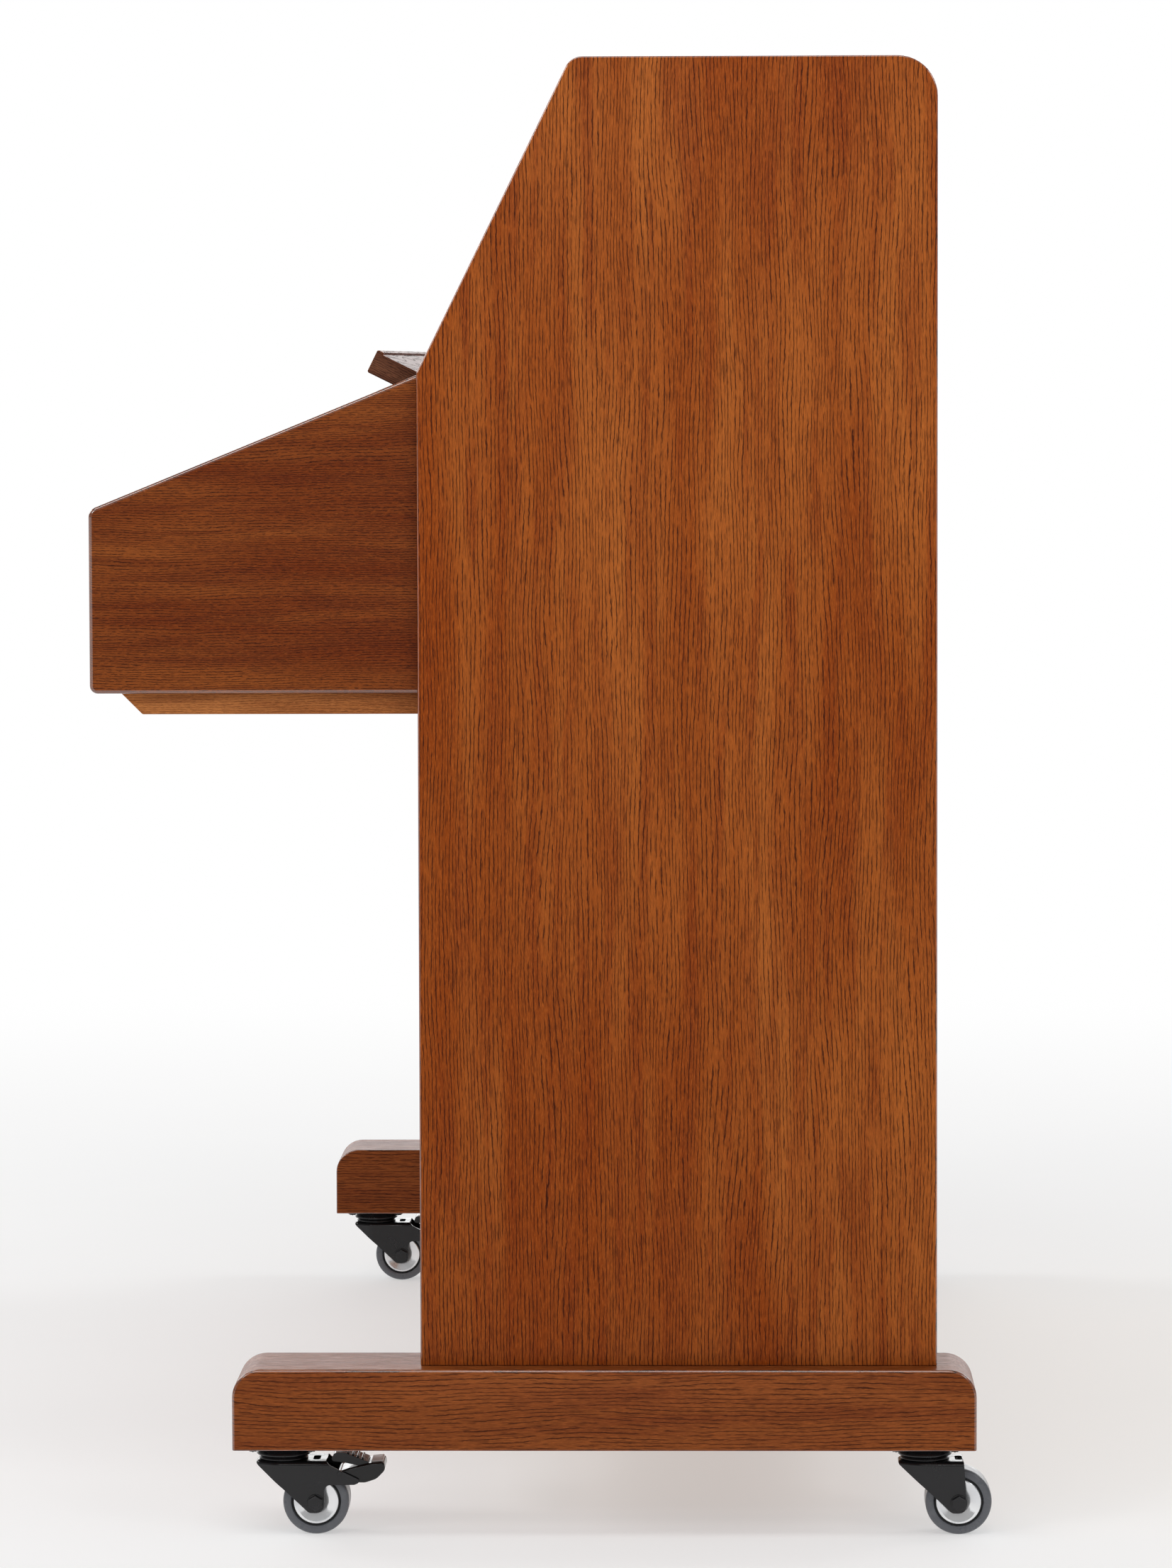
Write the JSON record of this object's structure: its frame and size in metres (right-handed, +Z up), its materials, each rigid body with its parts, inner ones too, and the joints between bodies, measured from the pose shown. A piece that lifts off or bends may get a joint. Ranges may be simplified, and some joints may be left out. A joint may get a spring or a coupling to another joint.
{
  "type": "upright piano",
  "caption": "Upright piano in a slab-sided stained oak cabinet with a sloped music desk, slanted key cheeks, pedals and base beams on braked casters.",
  "frame": {"origin": "centre of the footprint, on the floor under the casters", "axes": "+X along the keyboard from bass to treble, +Y from the player towards the back, +Z up"},
  "size_m": [1.4, 0.6734, 1.1044],
  "materials": {
    "oak_upright_grain": "satin lacquer over reddish-brown stained oak, grain upright",
    "oak_level_grain": "satin lacquer over dark reddish-brown stained oak, grain level",
    "keybed_wood": "clear satin on lighter golden-brown wood",
    "red_felt": "dyed wool felt",
    "spruce": "thin clear varnish on straight-grained spruce",
    "maple": "bare, fine-grained maple",
    "gilded_iron": "bronze paint on cast iron",
    "pin_steel": "plain drawn steel",
    "brass": "polished brass",
    "ivory_key": "polished ivory-white key tops on wooden levers",
    "black_key": "satin black caps on wooden levers",
    "hammer_felt": "off-white felt on wooden shanks and levers",
    "black_steel": "black zinc and paint on pressed steel",
    "grey_tyre": "smooth grey soft tread",
    "hub_chrome": "bright dust cover"
  },
  "bodies": {
    "case": {"side_panel_left": "oak_upright_grain", "side_panel_right": "oak_upright_grain", "cheek_left": "oak_level_grain", "cheek_right": "oak_level_grain", "keybed": "keybed_wood", "key_slip": "oak_level_grain", "cheek_blocks": "oak_level_grain", "fallboard_rail": "oak_level_grain", "name_board": "oak_upright_grain", "name_board_felt": "red_felt", "music_desk_panel": "oak_upright_grain", "music_ledge": "oak_level_grain", "lower_front_panel": "oak_upright_grain", "bottom_board": "oak_level_grain", "back_frame": "spruce", "soundboard": "spruce", "soundboard_ribs": "spruce", "bridges": "maple", "cast_iron_plate": "gilded_iron", "pin_block": "maple", "tuning_pins": "pin_steel", "strings": "pin_steel", "key_frame": "spruce", "action_frame": "gilded_iron", "base_beam_left": "oak_level_grain", "base_beam_right": "oak_level_grain", "caster_plates": "black_steel", "caster_screws": "pin_steel", "lid_hinge": "brass", "fallboard_hinge": "brass", "pedal_brackets": "brass"},
    "top_lid": {"top_lid": "oak_level_grain"},
    "fallboard": {"fallboard": "oak_level_grain"},
    "soft_pedal": {"soft_pedal": "brass"},
    "practice_pedal": {"practice_pedal": "brass"},
    "sustain_pedal": {"sustain_pedal": "brass"},
    "soft_pedal_rod": {"soft_pedal_rod": "maple"},
    "practice_pedal_rod": {"practice_pedal_rod": "maple"},
    "sustain_pedal_rod": {"sustain_pedal_rod": "maple"},
    "dampers": {"dampers": "hammer_felt"},
    "bass_keys": {"bass_naturals": "ivory_key", "bass_sharps": "black_key"},
    "treble_keys": {"treble_naturals": "ivory_key", "treble_sharps": "black_key"},
    "bass_hammers": {"bass_hammers": "hammer_felt"},
    "treble_hammers": {"treble_hammers": "hammer_felt"},
    "front_left_caster": {"front_left_fork": "black_steel"},
    "front_left_wheel": {"front_left_tyre": "grey_tyre", "front_left_hub": "hub_chrome"},
    "front_right_caster": {"front_right_fork": "black_steel"},
    "front_right_wheel": {"front_right_tyre": "grey_tyre", "front_right_hub": "hub_chrome"},
    "rear_left_caster": {"rear_left_fork": "black_steel"},
    "rear_left_wheel": {"rear_left_tyre": "grey_tyre", "rear_left_hub": "hub_chrome"},
    "rear_right_caster": {"rear_right_fork": "black_steel"},
    "rear_right_wheel": {"rear_right_tyre": "grey_tyre", "rear_right_hub": "hub_chrome"},
    "left_brake": {"left_brake_pedal": "black_steel"},
    "right_brake": {"right_brake_pedal": "black_steel"}
  },
  "joints": [
    {"name": "lid_hinge", "type": "hinge", "parent": "case", "child": "top_lid", "pos_m": [0, 0.2797, 1.084], "axis": [-1, 0, 0], "range_deg": [0, 100]},
    {"name": "fallboard_hinge", "type": "hinge", "parent": "case", "child": "fallboard", "pos_m": [0, -0.1573, 0.728], "axis": [1, 0, 0], "range_deg": [0, 110]},
    {"name": "soft_pedal_press", "type": "hinge", "parent": "case", "child": "soft_pedal", "pos_m": [-0.07, -0.0013, 0.117], "axis": [1, 0, 0], "range_deg": [0, 7.4], "stiffness_Nm_per_rad": 8, "springref_deg": -20.05},
    {"name": "soft_rod_lift", "type": "slide", "parent": "case", "child": "soft_pedal_rod", "axis": [0, 0, 1], "range_m": [0, 0.018]},
    {"name": "practice_pedal_press", "type": "hinge", "parent": "case", "child": "practice_pedal", "pos_m": [0, -0.0013, 0.117], "axis": [1, 0, 0], "range_deg": [0, 7.4], "stiffness_Nm_per_rad": 8, "springref_deg": -20.05},
    {"name": "practice_rod_lift", "type": "slide", "parent": "case", "child": "practice_pedal_rod", "axis": [0, 0, 1], "range_m": [0, 0.018]},
    {"name": "sustain_pedal_press", "type": "hinge", "parent": "case", "child": "sustain_pedal", "pos_m": [0.07, -0.0013, 0.117], "axis": [1, 0, 0], "range_deg": [0, 7.4], "stiffness_Nm_per_rad": 8, "springref_deg": -20.05},
    {"name": "sustain_rod_lift", "type": "slide", "parent": "case", "child": "sustain_pedal_rod", "axis": [0, 0, 1], "range_m": [0, 0.018]},
    {"name": "damper_lift", "type": "hinge", "parent": "case", "child": "dampers", "pos_m": [0, 0.1247, 0.79], "axis": [1, 0, 0], "range_deg": [0, 3.5]},
    {"name": "bass_key_press", "type": "hinge", "parent": "case", "child": "bass_keys", "pos_m": [0, -0.0863, 0.683], "axis": [1, 0, 0], "range_deg": [0, 2.7], "stiffness_Nm_per_rad": 20, "springref_deg": -11.46},
    {"name": "bass_hammer_strike", "type": "hinge", "parent": "case", "child": "bass_hammers", "pos_m": [0, 0.0917, 0.85], "axis": [-1, 0, 0], "range_deg": [0, 23]},
    {"name": "treble_key_press", "type": "hinge", "parent": "case", "child": "treble_keys", "pos_m": [0, -0.0863, 0.683], "axis": [1, 0, 0], "range_deg": [0, 2.7], "stiffness_Nm_per_rad": 35, "springref_deg": -11.46},
    {"name": "treble_hammer_strike", "type": "hinge", "parent": "case", "child": "treble_hammers", "pos_m": [0, 0.0917, 0.85], "axis": [-1, 0, 0], "range_deg": [0, 23]},
    {"name": "front_left_swivel", "type": "hinge", "parent": "case", "child": "front_left_caster", "pos_m": [-0.658, -0.1958, 0.06], "axis": [0, 0, 1], "continuous": true},
    {"name": "front_left_roll", "type": "hinge", "parent": "front_left_caster", "child": "front_left_wheel", "pos_m": [-0.658, -0.1708, 0.025], "axis": [1, 0, 0], "continuous": true},
    {"name": "front_right_swivel", "type": "hinge", "parent": "case", "child": "front_right_caster", "pos_m": [0.658, -0.1958, 0.06], "axis": [0, 0, 1], "continuous": true},
    {"name": "front_right_roll", "type": "hinge", "parent": "front_right_caster", "child": "front_right_wheel", "pos_m": [0.658, -0.1708, 0.025], "axis": [1, 0, 0], "continuous": true},
    {"name": "rear_left_swivel", "type": "hinge", "parent": "case", "child": "rear_left_caster", "pos_m": [-0.658, 0.2867, 0.06], "axis": [0, 0, 1], "continuous": true},
    {"name": "rear_left_roll", "type": "hinge", "parent": "rear_left_caster", "child": "rear_left_wheel", "pos_m": [-0.658, 0.3117, 0.025], "axis": [1, 0, 0], "continuous": true},
    {"name": "rear_right_swivel", "type": "hinge", "parent": "case", "child": "rear_right_caster", "pos_m": [0.658, 0.2867, 0.06], "axis": [0, 0, 1], "continuous": true},
    {"name": "rear_right_roll", "type": "hinge", "parent": "rear_right_caster", "child": "rear_right_wheel", "pos_m": [0.658, 0.3117, 0.025], "axis": [1, 0, 0], "continuous": true},
    {"name": "left_brake_press", "type": "hinge", "parent": "front_left_caster", "child": "left_brake", "pos_m": [-0.658, -0.1528, 0.047], "axis": [-1, 0, 0], "range_deg": [0, 8]},
    {"name": "right_brake_press", "type": "hinge", "parent": "front_right_caster", "child": "right_brake", "pos_m": [0.658, -0.1528, 0.047], "axis": [-1, 0, 0], "range_deg": [0, 8]}
  ],
  "couplings": [
    {"joint": "soft_rod_lift", "follows": "soft_pedal_press", "m_per_rad": 0.13},
    {"joint": "practice_rod_lift", "follows": "practice_pedal_press", "m_per_rad": 0.13},
    {"joint": "sustain_rod_lift", "follows": "sustain_pedal_press", "m_per_rad": 0.13},
    {"joint": "damper_lift", "follows": "sustain_pedal_press", "ratio": 0.47},
    {"joint": "bass_hammer_strike", "follows": "bass_key_press", "ratio": 8.5},
    {"joint": "treble_hammer_strike", "follows": "treble_key_press", "ratio": 8.5}
  ]
}
